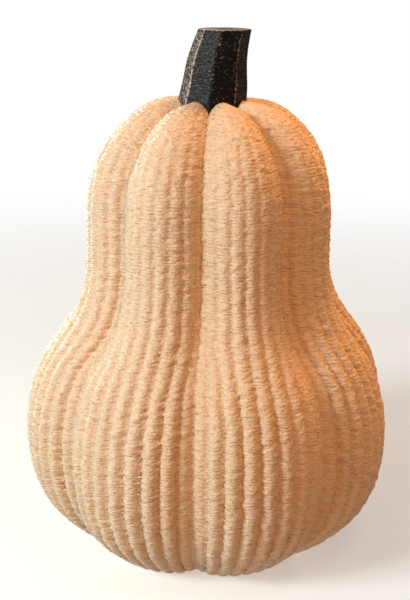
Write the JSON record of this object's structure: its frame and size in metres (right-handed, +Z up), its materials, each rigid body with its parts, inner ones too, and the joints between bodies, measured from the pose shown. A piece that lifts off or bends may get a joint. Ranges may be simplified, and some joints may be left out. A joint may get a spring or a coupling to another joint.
{
  "type": "decorative pumpkin",
  "caption": "Gourd-shaped decorative pumpkin with lobes, fine upright ribs, a flat base and a leaning faceted stem.",
  "frame": {"origin": "centre of the flat base, on the surface that the pumpkin stands on", "axes": "+Z up along the body's axis, +X the way the stem leans, -Y the front with a furrow on it"},
  "size_m": [0.072, 0.072, 0.0997],
  "materials": {
    "body": "matt peach plastic in fine level layers",
    "stem": "satin black plastic in fine level layers"
  },
  "bodies": {
    "root": {"body": "body", "stem": "stem"}
  },
  "joints": []
}
